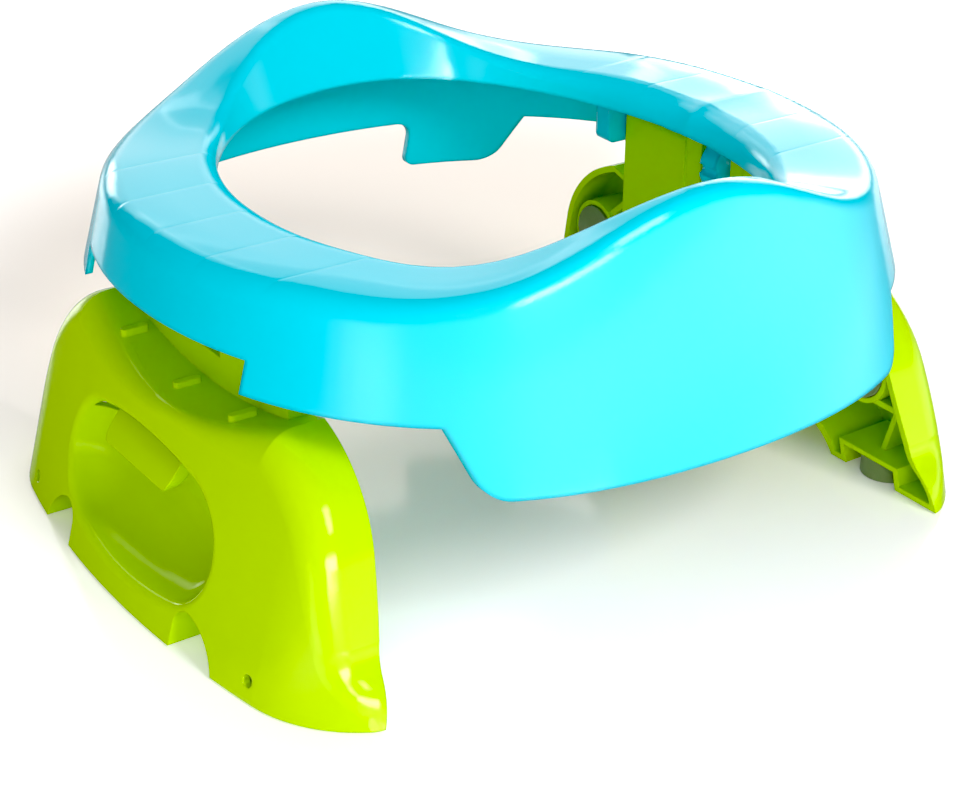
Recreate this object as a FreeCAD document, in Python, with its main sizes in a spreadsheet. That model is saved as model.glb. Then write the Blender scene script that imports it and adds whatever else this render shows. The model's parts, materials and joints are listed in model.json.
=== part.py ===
import FreeCAD, Part
import Sketcher
import math
import os
import re
from FreeCAD import Placement, Rotation, Vector

# A folding potty chair: a moulded seat ring on two folding legs. X runs from leg to leg, Y from front to
# rear, +Z is up, and the floor is Z = 0 under the middle of the seat. Each leg hangs on two steel pins,
# swings in for storage and out for use as a trainer seat, and carries a spring-loaded latch lever.

doc = FreeCAD.newDocument("PottyChair")
sheet = doc.addObject("Spreadsheet::Sheet", "Sizes")

SIZES = [
    # seat ring, where side is the section over a leg, front the one over +Y or -Y, corner the one between
    ("wall", 2.5, "wall of every moulding"),
    ("seatTop", 120.5, "height of the flat side bands"),
    ("frontRise", 24, "how far front and rear humps stand above the bands"),
    ("gaugeLevel", 98, "height at which the skirt radii are given"),
    ("skirtSide", 130.2, "skirt radius over a leg"),
    ("skirtCorner", 131.7, "skirt radius at a corner"),
    ("skirtFront", 123.9, "skirt radius at the front"),
    ("skirtRear", 125.3, "skirt radius at the rear"),
    ("draftSide", 0.20, "skirt draft as a slope over a leg"),
    ("draftCorner", 0.29, "skirt draft at a corner"),
    ("draftFront", 0.243, "skirt draft at the front"),
    ("openingSide", 83.5, "half the opening, leg to leg"),
    ("openingFront", 95, "half the opening, front to rear"),
    ("openingSquare", 2.3, "exponent of the opening's outline"),
    ("lipSide", 110, "height of the opening's lower edge over a leg"),
    ("lipCorner", 111.3, "its height at a corner"),
    ("lipFront", 116.7, "its height at the front"),
    ("lipFlare", 0.5, "how far the inner wall leans back over a leg"),
    ("humpFlare", 9, "how much more it leans back under a hump"),
    ("shoulderSide", 7, "outer shoulder radius over a leg"),
    ("shoulderFront", 5, "outer shoulder radius at the front"),
    ("rollSide", 10.5, "inner roll radius over a leg"),
    ("rollCorner", 4.5, "inner roll radius at a corner"),
    ("rollFront", 4, "inner roll radius at the front"),
    ("skirtBottom", 67.3, "lower edge of the front and rear panels"),
    ("skirtMiddle", 87.7, "lower edge at the corners"),
    ("skirtLegs", 97.8, "lower edge over the legs"),
    ("panelBottomHalf", 79.3, "half the panels' width at their lower edge"),
    ("panelTopHalf", 86.3, "half the panels' width at the corner level"),
    ("panelRound", 9, "rounding of the panels' lower corners"),
    ("notchHalf", 46.5, "half the width of the rear notch"),
    ("notchTop", 86.8, "roof of the rear notch"),
    ("notchRound", 6, "rounding of the notch's roof"),
    ("notchFlare", 4, "rounding of the notch's lower corners"),
    # hinges
    ("hingeOut", 105, "hinge axis from the middle"),
    ("hingeLevel", 94.4, "hinge axis above the floor"),
    ("pinRadius", 2, "hinge pin radius"),
    ("pinLong", 24, "hinge pin length"),
    ("runFit", 0.08, "radial play of a turning bore"),
    ("sideGap", 1.2, "gap between neck and lug"),
    ("lugThick", 7.5, "thickness of a hinge lug"),
    ("lugIn", 14.5, "how far a lug reaches in from the axis"),
    ("lugOut", 9, "how far a lug reaches out from the axis"),
    ("lugDown", 4.4, "how far a lug reaches below the axis"),
    ("lugRound", 3, "rounding of a lug's lower corners"),
    ("discRadius", 10, "latch disc radius"),
    ("discHalf", 4, "half the latch disc's thickness"),
    ("discWebHalf", 7, "half the width of the web above the disc"),
    ("detentRadius", 1.8, "radius of the three latch notches"),
    # leg shell
    ("footOut", 146, "outer face at the floor in the middle of the leg"),
    ("lean", 15.1, "lean of the outer face in degrees"),
    ("faceRadius", 414, "radius of the outer face in plan"),
    ("bendHalf", 78, "where the outer face starts to bend round the foot"),
    ("bendRadius", 45, "radius of that bend in plan"),
    ("rimFloor", 112, "inner rim at the floor"),
    ("rimMiddle", 103.9, "inner rim half way up"),
    ("rimTop", 100, "inner rim at the shoulder"),
    ("rimMiddleLevel", 40, "height half way up the rim"),
    ("ledgeMiddle", 67, "height of the ledge in the middle"),
    ("ledgeEndHalf", 56, "where the ledge meets the lobe"),
    ("ledgeEnd", 76.8, "height of the ledge there"),
    ("lobeHalf", 45, "lobe centre from the middle"),
    ("lobeLevel", 30, "lobe centre above the floor"),
    ("lobeRadius", 49, "lobe radius"),
    ("lobeDraft", 19, "lean of the lobe's lower flank in degrees"),
    ("flankLong", 24, "length of that flank"),
    ("kneeHalf", 104, "start of the foot flare"),
    ("kneeLevel", 13.6, "its height"),
    ("footHalf", 110.3, "half the length of the foot"),
    ("edgeRound", 12, "rounding round the outer face"),
    ("ledgeRound", 4, "the same rounding at the middle of the ledge"),
    ("padProud", 0.4, "how far the rubber feet stand below the plastic"),
    ("neckHalf", 50.3, "half the length of the neck"),
    ("neckIn", 98, "inner face of the neck"),
    ("neckOut", 107, "outer face of the neck"),
    ("neckTop", 103, "top of the neck"),
    ("neckFoot", 58, "lower end of the neck block"),
    ("neckRound", 3.5, "rounding of the neck's top"),
    ("slotHalf", 8, "half the width of the slot for latch disc and nose"),
    ("slotBelow", 6.9, "how far that slot reaches below the latch disc"),
    ("stepHalf", 16, "half the width of the shallow step beside it"),
    ("stepDeep", 1.2, "depth of that step"),
    ("barSpacing", 36.2, "distance between the ledge bars"),
    ("barIn", 111.4, "inner end of a ledge bar"),
    ("barOut", 118, "outer end of a ledge bar"),
    ("barHigh", 2, "height of a ledge bar"),
    ("barHalf", 1.5, "half the width of a ledge bar"),
    ("bowlHalf", 49, "half the length of the finger bowl"),
    ("bowlHigh", 24.5, "half its height"),
    ("bowlEnd", 22, "radius of its round ends"),
    ("bowlLip", 3, "rounding of its edge"),
    ("bowlDeep", 20, "its depth"),
    ("bowlLevel", 34, "its middle above the floor"),
    ("bowlBackTop", 46.5, "top edge of the bowl's back wall"),
    ("archIn", 36, "belly side of the arch between belly and foot"),
    ("archOut", 58.5, "foot side of the arch"),
    ("archTop", 14, "height of the arch"),
    ("socketIn", 66, "near side of the rubber foot's socket"),
    ("socketOut", 90.5, "far side of the socket"),
    ("socketDeep", 131, "back of the socket"),
    ("socketTop", 8.3, "roof of the socket"),
    ("plateThick", 2.2, "thickness of ribs and plates"),
    ("padHalf", 75, "grip pad from the middle"),
    ("padLevel", 43.5, "grip pad above the floor"),
    ("padRadius", 10.2, "grip pad radius"),
    ("padThick", 3, "grip pad thickness"),
    ("padFace", 104, "face of the grip pad"),
    ("padFit", 0.3, "play round a rubber pad"),
    ("bossRadius", 12.4, "radius of the grip pad's boss"),
    ("stemRadius", 4, "radius of the grip pad's stem"),
    ("stemLong", 6, "length of the stem"),
    ("shelfLevel", 33.5, "top of the stiffening shelf"),
    ("shelfHalf", 77, "inner end of the shelf"),
    ("footPadRadius", 9.6, "rubber foot radius"),
    ("footPadHalf", 78, "rubber foot from the middle"),
    ("footPadOut", 120.6, "rubber foot centre, leg to leg"),
    ("screwRadius", 2, "radius of the hole in the foot"),
    ("screwHalf", 74.5, "that hole from the middle"),
    ("screwLevel", 6.7, "that hole above the floor"),
    # latch lever
    ("pivotOut", 120.5, "lever pivot from the middle"),
    ("pivotLevel", 58, "lever pivot above the floor"),
    ("pivotRadius", 1.5, "lever pin radius"),
    ("knuckleRadius", 4, "radius of the lever's knuckle"),
    ("tongueHalf", 21.5, "half the width of the tongue"),
    ("tongueTipOut", 134.8, "tip of the tongue from the middle"),
    ("tongueTipLevel", 44.4, "tip of the tongue above the floor"),
    ("tongueThick", 4.6, "thickness of the tongue"),
    ("tongueRound", 6.5, "rounding of the tongue's corners"),
    ("tongueBulge", 0.7, "how full the tongue's outer face is"),
    ("cheekGap", 0.7, "gap between lever and cheek"),
    ("cheekThick", 3, "thickness of a cheek"),
    ("armHalf", 6, "half the width of the latch arm"),
    ("armIn", 99.3, "inner side of the latch arm"),
    ("armThick", 4, "thickness of the latch arm"),
    ("noseGap", 0.3, "gap between nose and latch disc"),
    ("springIn", 7.6, "near end of the spring's pocket"),
    ("springOut", 12.8, "far end of the pocket"),
    ("springRadius", 2.9, "mean radius of the spring"),
    ("springWire", 0.4, "radius of its wire"),
    ("springPitch", 0.78, "pitch of its close turns"),
    ("springPost", 6.6, "length of the spring's straight leg"),
    ("springLeg", 9, "length of the other leg"),
    ("springTilt", 11, "how far the hooked leg leans down, in degrees"),
    ("springHook", 6, "length of the hook on it"),
]

for row, (name, value, note) in enumerate(SIZES, start=1):
    sheet.set(f"A{row}", note)
    sheet.set(f"B{row}", str(value))
    sheet.setAlias(f"B{row}", name)
doc.recompute()
names = {name for name, value, note in SIZES}


# ---- helpers -------------------------------------------------------------------------------------------

def tied(text):
    """The expression with every named size pointed at the sheet."""
    return re.sub(r"[A-Za-z]\w*", lambda word: "Sizes." + word[0] if word[0] in names else word[0], text)


def worth(text):
    return float(sheet.evalExpression(tied(text)))


def place(thing, at, rotation=Rotation()):
    thing.Placement = Placement(Vector(*[worth(value) for value in at]), rotation)
    for axis, value in zip("xyz", at):
        thing.setExpression("Placement.Base." + axis, tied(value))
    return thing


TURNS = {"XY": Rotation(), "XZ": Rotation(Vector(1, 0, 0), 90), "YZ": Rotation(Vector(1, 1, 1), 120)}


def outlineSketch(name, plane, outline):
    """A closed sketch. A step of the outline is a corner, or an arc as (a point on it, its end)."""
    sketch = doc.addObject("Sketcher::SketchObject", name + "_outline")
    sketch.Placement = Placement(Vector(), TURNS[plane])

    def spot(corner):
        return Vector(worth(corner[0]), worth(corner[1]), 0)

    def hold(geometry, end, corner):
        for kind, value in zip(("DistanceX", "DistanceY"), corner):
            index = sketch.addConstraint(Sketcher.Constraint(kind, -1, 1, geometry, end, worth(value)))
            sketch.setExpression(f"Constraints[{index}]", tied(value))

    here = outline[0]
    steps = list(outline[1:])
    if isinstance(steps[-1][0], str) or steps[-1][1] != here:
        steps.append(here)
    ends = []
    for step in steps:
        if isinstance(step[0], str):
            index = sketch.addGeometry(Part.LineSegment(spot(here), spot(step)))
            ends.append((index, 1, 2))
            goal = step
        else:
            through, goal = step
            points = [spot(here), spot(through), spot(goal)]
            clockwise = (points[1] - points[0]).cross(points[2] - points[1]).z < 0
            if clockwise:
                points.reverse()
            index = sketch.addGeometry(Part.ArcOfCircle(*points))
            ends.append((index, 2, 1) if clockwise else (index, 1, 2))
            mark = sketch.addGeometry(Part.Point(spot(through)), True)
            hold(mark, 1, through)
            sketch.addConstraint(Sketcher.Constraint("PointOnObject", mark, 1, index))
        hold(ends[-1][0], ends[-1][1], here)
        here = goal
    for (one, start, end), (other, nextStart, nextEnd) in zip(ends, ends[1:] + ends[:1]):
        sketch.addConstraint(Sketcher.Constraint("Coincident", one, end, other, nextStart))
    return sketch


AXES = {"XY": "z", "XZ": "y", "YZ": "x"}


def prism(name, plane, outline, start, end):
    """The outline swept along its normal, from start to end on the third axis."""
    sketch = outlineSketch(name, plane, outline)
    sketch.setExpression("Placement.Base." + AXES[plane], tied(start))
    solid = doc.addObject("Part::Extrusion", name)
    solid.Base = sketch
    solid.DirMode = "Normal"
    solid.Solid = True
    solid.Reversed = plane == "XZ"
    solid.setExpression("LengthFwd", tied(f"({end}) - ({start})"))
    return solid


def block(name, low, high):
    solid = doc.addObject("Part::Box", name)
    for size, one, other in zip(("Length", "Width", "Height"), low, high):
        solid.setExpression(size, tied(f"({other}) - ({one})"))
    return place(solid, low)


ALONG = {"x": Rotation(Vector(0, 1, 0), 90), "y": Rotation(Vector(1, 0, 0), -90), "z": Rotation()}


def cylinder(name, axis, radius, start, length):
    solid = doc.addObject("Part::Cylinder", name)
    solid.setExpression("Radius", tied(radius))
    solid.setExpression("Height", tied(length))
    return place(solid, start, ALONG[axis])


def gather(kind, name, pieces):
    solid = doc.addObject("Part::" + kind, name)
    solid.Shapes = pieces
    return solid


def joined(name, *pieces):
    return gather("MultiFuse", name, list(pieces))


def shared(name, *pieces):
    return gather("MultiCommon", name, list(pieces))


def cutFrom(name, base, *tools):
    solid = doc.addObject("Part::Cut", name)
    solid.Base = base
    solid.Tool = tools[0] if len(tools) == 1 else joined(name + "_tools", *tools)
    return solid


def reflected(name, source, normal):
    solid = doc.addObject("Part::Mirroring", name)
    solid.Source = source
    solid.Normal = normal
    return solid


def frontAndRear(solid):
    """The solid at +Y and its mirror image at -Y."""
    return solid, reflected(solid.Name + "_front", solid, Vector(0, 1, 0))


def rounded(name, base, radiusAt, wanted):
    """Fillets the edges that wanted picks, with the radius that radiusAt gives for each of their ends."""
    doc.recompute()
    edges = []
    for number, edge in enumerate(base.Shape.Edges, start=1):
        first, last = edge.ParameterRange
        if wanted(edge, edge.valueAt((first + last) / 2)):
            edges.append((number, radiusAt(edge.valueAt(first)), radiusAt(edge.valueAt(last))))
    solid = doc.addObject("Part::Fillet", name)
    solid.Base = base
    solid.Edges = edges
    return solid


def bothWays(half):
    """A symmetric outline from its +Y half, top to bottom. The half may start on the axis."""
    def turned(corner):
        return (f"-({corner[0]})", corner[1])

    corners = [step if isinstance(step[0], str) else step[1] for step in half]
    steps = list(half) + [turned(corners[-1])]
    for number in range(len(half) - 1, 0, -1):
        step = half[number]
        goal = half[0] if number == 1 and corners[0][0] == "0" else turned(corners[number - 1])
        steps.append(goal if isinstance(step[0], str) else (turned(step[0]), goal))
    return steps


# ---- seat ring -----------------------------------------------------------------------------------------

def around(side, corner, front, angle):
    """A value that goes smoothly from side to corner to front and back as the plan angle turns."""
    mean = (side + front + 2 * corner) / 4
    return mean + (side - front) / 2 * math.cos(2 * angle) + (side + front - 2 * corner) / 4 * math.cos(4 * angle)


def corner(before, apex, after, radius):
    """Ends of the arc that rounds a corner, and the point half way along it."""
    inward = (before - apex).normalize()
    outward = (after - apex).normalize()
    half = inward.getAngle(outward) / 2
    reach = radius / math.tan(half)
    centre = apex + (inward + outward).normalize() * (radius / math.sin(half))
    return apex + inward * reach, centre + (apex - centre).normalize() * radius, apex + outward * reach


def ringSection(angle):
    """The ring's wall in the half plane at this angle, as a closed wire."""
    get = worth
    wall = get("wall")
    rise = max(0, -math.cos(2 * angle)) ** 2
    crest = get("seatTop") + get("frontRise") * rise
    draft = around(get("draftSide"), get("draftCorner"), get("draftFront"), angle)
    end = get("skirtRear") if math.sin(angle) > 0 else get("skirtFront")
    gauge = around(get("skirtSide"), get("skirtCorner"), end, angle)
    power = get("openingSquare")
    lip = (abs(math.cos(angle) / get("openingSide")) ** power
           + abs(math.sin(angle) / get("openingFront")) ** power) ** (-1 / power)
    lipLevel = around(get("lipSide"), get("lipCorner"), get("lipFront"), angle)
    lean = (get("lipFlare") + get("humpFlare") * rise) / (crest - lipLevel)
    shoulder = around(get("shoulderSide"), get("shoulderSide"), get("shoulderFront"), angle)
    roll = around(get("rollSide"), get("rollCorner"), get("rollFront"), angle)

    def outer(level, inset=0):
        return Vector(gauge - draft * (level - get("gaugeLevel")) - inset * math.hypot(1, draft), 0, level)

    def inner(level, inset=0):
        return Vector(lip + lean * (level - lipLevel) + inset * math.hypot(1, lean), 0, level)

    bottom = get("skirtBottom")
    under = crest - wall
    path = [outer(bottom)]
    path += corner(path[0], outer(crest), inner(crest), shoulder)
    path += corner(outer(crest), inner(crest), inner(lipLevel), roll)
    path += [inner(lipLevel), inner(lipLevel, wall)]
    path += corner(path[-1], inner(under, wall), outer(under, wall), roll - wall)
    path += corner(inner(under, wall), outer(under, wall), outer(bottom, wall), shoulder - wall)
    path += [outer(bottom, wall)]
    turn = Rotation(Vector(0, 0, 1), math.degrees(angle))
    path = [turn.multVec(point) for point in path]
    edges = []
    number = 0
    arcs = {1, 4, 9, 12}
    while number < len(path) - 1:
        if number in arcs:
            edges.append(Part.Arc(*path[number:number + 3]).toShape())
            number += 2
        else:
            edges.append(Part.LineSegment(path[number], path[number + 1]).toShape())
            number += 1
    edges.append(Part.LineSegment(path[-1], path[0]).toShape())
    return Part.Wire(edges)


SECTIONS = 24
blank = doc.addObject("Part::Feature", "ring_blank")
blank.Shape = Part.makeLoft([ringSection(2 * math.pi * step / SECTIONS) for step in range(SECTIONS)],
                            True, False, True)


def legGaps():
    """What is cut off the skirt's lower edge: the corners, the gaps over the legs and the rear notch."""
    far = "skirtSide + 30"
    low = "skirtBottom - 10"
    turn = "(atan((skirtMiddle - skirtBottom) / (panelTopHalf - panelBottomHalf)) / 1 deg)"
    reach = f"panelRound * tan({turn} / 2)"
    start = f"(panelBottomHalf - {reach})"
    corners = prism("corner_gap", "XZ", [
        (start, low), (start, "skirtBottom"),
        ((f"{start} + panelRound * sin({turn} / 2)", f"skirtBottom + panelRound * (1 - cos({turn} / 2))"),
         (f"panelBottomHalf + {reach} * cos({turn})", f"skirtBottom + {reach} * sin({turn})")),
        ("panelTopHalf", "skirtMiddle"), (far, "skirtMiddle"), (far, low)], f"-({far})", far)
    legs = block("leg_gap", ("hingeOut", "-(neckHalf + sideGap)", low), (far, "neckHalf + sideGap", "skirtLegs"))
    half = [
        ("notchHalf - notchRound", "notchTop"),
        (("notchHalf - notchRound * (1 - cos(45))", "notchTop - notchRound * (1 - sin(45))"),
         ("notchHalf", "notchTop - notchRound")),
        ("notchHalf", "skirtBottom + notchFlare"),
        (("notchHalf + notchFlare * (1 - cos(45))", "skirtBottom + notchFlare * (1 - sin(45))"),
         ("notchHalf + notchFlare", "skirtBottom")),
        ("notchHalf + notchFlare", low)]
    notch = prism("rear_notch", "XZ", bothWays(half), "openingFront", "skirtFront + 30")
    return [*leftAndRight(corners), *leftAndRight(legs), notch]


def leftAndRight(solid):
    return solid, reflected(solid.Name + "_left", solid, Vector(1, 0, 0))


ringTop = "seatTop - wall + 0.5"


def hingeLug():
    """The plate that hangs from the ring behind the rear end of a neck, with the pin's tight bore."""
    near = "neckHalf + sideGap"
    left = "hingeOut - lugIn"
    right = "hingeOut + lugOut"
    low = "hingeLevel - lugDown"
    inset = "lugRound * (1 - cos(45))"
    plate = prism("lug_plate", "XZ", [
        (left, ringTop), (left, f"{low} + lugRound"),
        ((f"{left} + {inset}", f"{low} + {inset}"), (f"{left} + lugRound", low)),
        (f"{right} - lugRound", low),
        ((f"{right} - {inset}", f"{low} + {inset}"), (right, f"{low} + lugRound")),
        ("hingeOut + 1", ringTop)], near, f"{near} + lugThick")
    bore = cylinder("lug_bore", "y", "pinRadius", ("hingeOut", near, "hingeLevel"), "lugThick")
    return cutFrom("hinge_lug", plate, bore)


def latchDisc():
    """The fixed disc round the hinge axis, hung from the ring on a web, with a notch for each leg position."""
    disc = cylinder("disc_plate", "y", "discRadius", ("hingeOut", "-discHalf", "hingeLevel"), "2 * discHalf")
    web = block("disc_web", ("hingeOut - discWebHalf", "-discHalf", "hingeLevel"),
                ("hingeOut + discWebHalf", "discHalf", ringTop))
    notches = []
    for name, across, up in (("down", "0", "-discRadius"), ("out", "discRadius", "0"), ("in", "-discRadius", "0")):
        notches.append(cylinder("detent_" + name, "y", "detentRadius",
                                (f"hingeOut + {across}", "-discHalf", f"hingeLevel + {up}"), "2 * discHalf"))
    return cutFrom("latch_disc", joined("disc_blank", disc, web), *notches)


def seatRing():
    lug = hingeLug()
    disc = latchDisc()
    rear, front = frontAndRear(lug)
    hung = [rear, front, disc]
    hung += [leftAndRight(piece)[1] for piece in list(hung)]
    trimmed = cutFrom("ring_trimmed", blank, *legGaps())
    return joined("ring_body", trimmed, *hung)


# ---- leg -----------------------------------------------------------------------------------------------

def legOutline(inset):
    """The front view of a leg, drawn in by inset, from the middle of the ledge to the floor and mirrored."""
    radius = f"(lobeRadius - {inset})"

    def onLobe(angle):
        return f"lobeHalf + {radius} * cos({angle})", f"lobeLevel + {radius} * sin({angle})"

    topAngle = "(asin((ledgeEnd - lobeLevel) / lobeRadius) / 1 deg)"
    top = onLobe(topAngle)
    flank = onLobe("lobeDraft")
    hip = (f"{flank[0]} + flankLong * sin(lobeDraft)", f"{flank[1]} - flankLong * cos(lobeDraft)")
    knee = (f"kneeHalf - {inset}", "kneeLevel")
    foot = (f"footHalf - {inset}", f"padProud + {inset}")
    bend = f"((ledgeEndHalf ^ 2 + (ledgeEnd - ledgeMiddle) ^ 2) / (2 * (ledgeEnd - ledgeMiddle)) + {inset})"
    crown = f"ledgeMiddle - {inset}"
    half = [
        ("0", crown),
        ((f"({top[0]}) / 2", f"{crown} + {bend} - sqrt({bend} ^ 2 - ({top[0]}) ^ 2 / 4)"), top),
        (onLobe(f"({topAngle} + lobeDraft) / 2"), flank),
        hip,
        ((f"({hip[0]} + {knee[0]}) / 2 - 0.6", f"({hip[1]} + {knee[1]}) / 2 - 0.6"), knee),
        ((f"({knee[0]} + {foot[0]}) / 2 + 1", f"({knee[1]} + {foot[1]}) / 2 + 0.5"), foot),
    ]
    return bothWays(half)


def legForm(name, inset, share):
    """The leg as a full solid: its outline and its leaning plan, which bends round the feet, with the edge
    between them rounded."""
    prismatic = prism(name + "_prism", "YZ", legOutline(inset), "neckIn - 20", "footOut + 20")
    skin = f"{inset} / cos(lean)"
    swing = "(asin(bendHalf / faceRadius) / 1 deg)"
    centreOut = f"footOut - faceRadius + (faceRadius - bendRadius) * cos({swing})"
    centreHalf = f"((faceRadius - bendRadius) * sin({swing}))"

    def onBend(angle):
        return (f"{centreOut} - {skin} + bendRadius * cos({angle})",
                f"{centreHalf} + (bendRadius - {inset}) * sin({angle})")

    start, middle, end = onBend(swing), onBend(f"({swing} + 90) / 2"), onBend("90")
    plan = outlineSketch(name + "_plan", "XY", [
        ("neckIn - 40", f"-({end[1]})"), (end[0], f"-({end[1]})"),
        ((middle[0], f"-({middle[1]})"), (start[0], f"-({start[1]})")),
        ((f"footOut - {skin}", "0"), start), (middle, end), ("neckIn - 40", end[1])])
    face = doc.addObject("Part::Extrusion", name + "_face")
    face.Base = plan
    face.DirMode = "Custom"
    face.setExpression("Dir.x", tied("-sin(lean)"))
    face.setExpression("Dir.z", tied("cos(lean)"))
    face.Solid = True
    face.setExpression("LengthFwd", tied("footOut"))
    solid = shared(name + "_solid", prismatic, face)
    doc.recompute()
    lean = Vector(-math.sin(math.radians(worth("lean"))), 0, math.cos(math.radians(worth("lean"))))
    walls = [wall for wall in face.Shape.Faces if wall.CenterOfMass.x > worth("neckIn")
             and abs(wall.normalAt(0, 0).dot(lean)) < 0.01]

    def onFace(edge, middle):
        first, last = edge.ParameterRange
        for share in (0.1, 0.5, 0.9):
            spot = Part.Vertex(edge.valueAt(first + (last - first) * share))
            if min(wall.distToShape(spot)[0] for wall in walls) > 0.01:
                return False
        outline = [side for side in prismatic.Shape.Faces if abs(side.normalAt(0, 0).x) < 0.01]
        return (middle.z > worth(f"padProud + {inset}") + 0.1
                and min(side.distToShape(Part.Vertex(middle))[0] for side in outline) < 0.01)

    def radiusAt(end):
        return worth(share) * worth("ledgeRound" if abs(end.y) < 0.1 else "edgeRound")

    return rounded(name, solid, radiusAt, onFace)


def archOutline(inset):
    """The arch between belly and foot, grown outwards by -inset for the walls round it."""
    near = f"(archIn + {inset})"
    far = f"(archOut - {inset})"
    top = f"(archTop - {inset})"
    floor = "-5"
    return [(near, floor), (near, f"{top} - 6"),
            ((f"{near} + 2.2", f"{top} - 1.6"), (f"{near} + 7.5", top)),
            ((f"{far} - 6.5", f"{top} - 4.2"), (far, "0")), (far, floor)]


def bowl(name, grown):
    """The hollow that fingers reach into: a long form turned about an axis along Y, with round ends."""
    half, high, end = f"(bowlHalf + {grown})", f"(bowlHigh + {grown})", f"(bowlEnd + {grown})"
    ends = f"({half} - {end})"
    crown = f"(({high} ^ 2 - {end} ^ 2 + {ends} ^ 2) / (2 * ({high} - {end})))"
    meet = (f"{end} * ({crown} - {high}) / ({crown} - {end})", f"({ends} + {end} * {ends} / ({crown} - {end}))")
    through = (f"{end} * cos(40)", f"{ends} + {end} * sin(40)")
    sketch = outlineSketch(name, "XY", [
        ("0", half), (through, meet), ((high, "0"), (meet[0], f"-{meet[1]}")),
        ((through[0], f"-({through[1]})"), ("0", f"-{half}"))])
    hollow = doc.addObject("Part::Revolution", name)
    hollow.Source = sketch
    hollow.Axis = Vector(0, 1, 0)
    hollow.Angle = 360
    hollow.Solid = True
    return place(hollow, ("footOut - bowlLevel * tan(lean) + bowlHigh - bowlDeep", "0", "bowlLevel"))


def legWalls():
    """What stands inside the shell: walls round arches, sockets and bowl, bosses, shelves and cheeks."""
    inner, outer = "neckIn - 20", "footOut + 20"
    bowlBack = shared("bowl_back", bowl("bowl_outside", "wall"),
                      block("bowl_level", (inner, "-(bowlHalf + wall)", "0"),
                            (outer, "bowlHalf + wall", "bowlBackTop")))
    arch = prism("arch_wall", "YZ", archOutline("-wall"), inner, outer)
    socket = block("socket_wall", (inner, "socketIn - plateThick", "0"),
                   ("socketDeep + plateThick", "socketOut + plateThick", "socketTop + plateThick"))
    boss = cylinder("pad_boss", "x", "bossRadius", ("padFace + padThick / 3", "padHalf", "padLevel"), "50")
    shelf = block("shelf", ("rimFloor - 4", "shelfHalf", "shelfLevel - plateThick"), (outer, "footHalf", "shelfLevel"))
    gusset = prism("gusset", "YZ", [
        ("socketOut - 4", "shelfLevel - 1"), ("socketIn + 14", "socketTop + 1"),
        ("socketIn + 14 - plateThick", "socketTop + 1"), ("socketOut - 4 - plateThick", "shelfLevel - 1")],
        "rimFloor + 4", outer)
    brace = prism("brace", "YZ", [
        ("padHalf - 6", "padLevel + bossRadius - 3"), ("neckHalf - 2", "ledgeEnd - 6"),
        ("neckHalf - 2", "ledgeEnd - 6 - plateThick * 1.4"),
        ("padHalf - 6 - plateThick", "padLevel + bossRadius - 4")], "rimTop + 6", outer)
    cheek = prism("cheek", "XZ", [
        ("pivotOut - knuckleRadius - 1", "ledgeEnd"), ("pivotOut - knuckleRadius - 1", "pivotLevel"),
        (("pivotOut", "pivotLevel - knuckleRadius - 1"), ("pivotOut + knuckleRadius + 1", "pivotLevel")),
        ("pivotOut + knuckleRadius + 1", "ledgeEnd")],
        "tongueHalf + cheekGap", "tongueHalf + cheekGap + cheekThick")
    walls = [bowlBack]
    for piece in (arch, socket, boss, shelf, gusset, brace, cheek):
        walls += frontAndRear(piece)
    return joined("leg_walls", *walls)


def rimCut():
    """Everything inwards of the curved inner rim, below the shoulder."""
    low = "-20"
    return prism("rim_cut", "XZ", [
        ("neckIn - 40", low), ("rimFloor", low), ("rimFloor", "0"),
        (("rimMiddle", "rimMiddleLevel"), ("rimTop", "ledgeEnd + 2")),
        ("rimTop", "neckTop"), ("neckIn - 40", "neckTop")], "-(footHalf + 20)", "footHalf + 20")


slotFloor = "hingeLevel - discRadius - slotBelow"


def neck():
    """The block between the lugs: solid ends for the pins, a slot for disc and nose, a step beside it."""
    bottom = "neckFoot"
    profile = prism("neck_block", "XZ", [
        ("neckIn", bottom), ("neckOut", bottom), ("neckOut", "neckTop - neckRound"),
        (("neckOut - neckRound * (1 - cos(45))", "neckTop - neckRound * (1 - sin(45))"),
         ("neckOut - neckRound", "neckTop")),
        ("neckIn + neckRound", "neckTop"),
        (("neckIn + neckRound * (1 - cos(45))", "neckTop - neckRound * (1 - sin(45))"),
         ("neckIn", "neckTop - neckRound"))], "-neckHalf", "neckHalf")
    hollow = block("neck_hollow", ("neckIn + wall", "stepHalf + wall", bottom + " - 1"),
                   ("neckOut - wall", "neckHalf - wall", "hingeLevel - 2 * neckRound - wall"))
    slot = block("neck_slot", ("neckIn - 5", "-slotHalf", slotFloor),
                 ("neckOut + 5", "slotHalf", "neckTop + 5"))
    step = block("neck_step", ("neckIn - 5", "-stepHalf", bottom + " - 1"),
                 ("neckIn + stepDeep", "stepHalf", "neckTop + 5"))
    bore = cylinder("neck_bore", "y", "pinRadius + runFit", ("hingeOut", "-neckHalf - 5", "hingeLevel"),
                    "2 * neckHalf + 10")
    return cutFrom("neck", profile, *frontAndRear(hollow), slot, step, bore)


def ledgeBars():
    bars = []
    for number, name in enumerate(("rear", "middle", "front")):
        middle = f"(1 - {number}) * barSpacing"
        rise = f"(ledgeEnd - ledgeMiddle) * ({middle} / ledgeEndHalf) ^ 2"
        top = f"ledgeMiddle + {rise} + barHigh"
        bar = prism("ledge_bar_" + name, "XY", [
            ("barIn", f"{middle} - barHalf"), ("barOut", f"{middle} - barHalf"),
            (("barOut + barHalf", middle), ("barOut", f"{middle} + barHalf")),
            ("barIn", f"{middle} + barHalf"),
            (("barIn - barHalf", middle), ("barIn", f"{middle} - barHalf"))],
            f"{top} - barHigh - wall / 2", top)
        bars.append(bar)
    return bars


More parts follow.
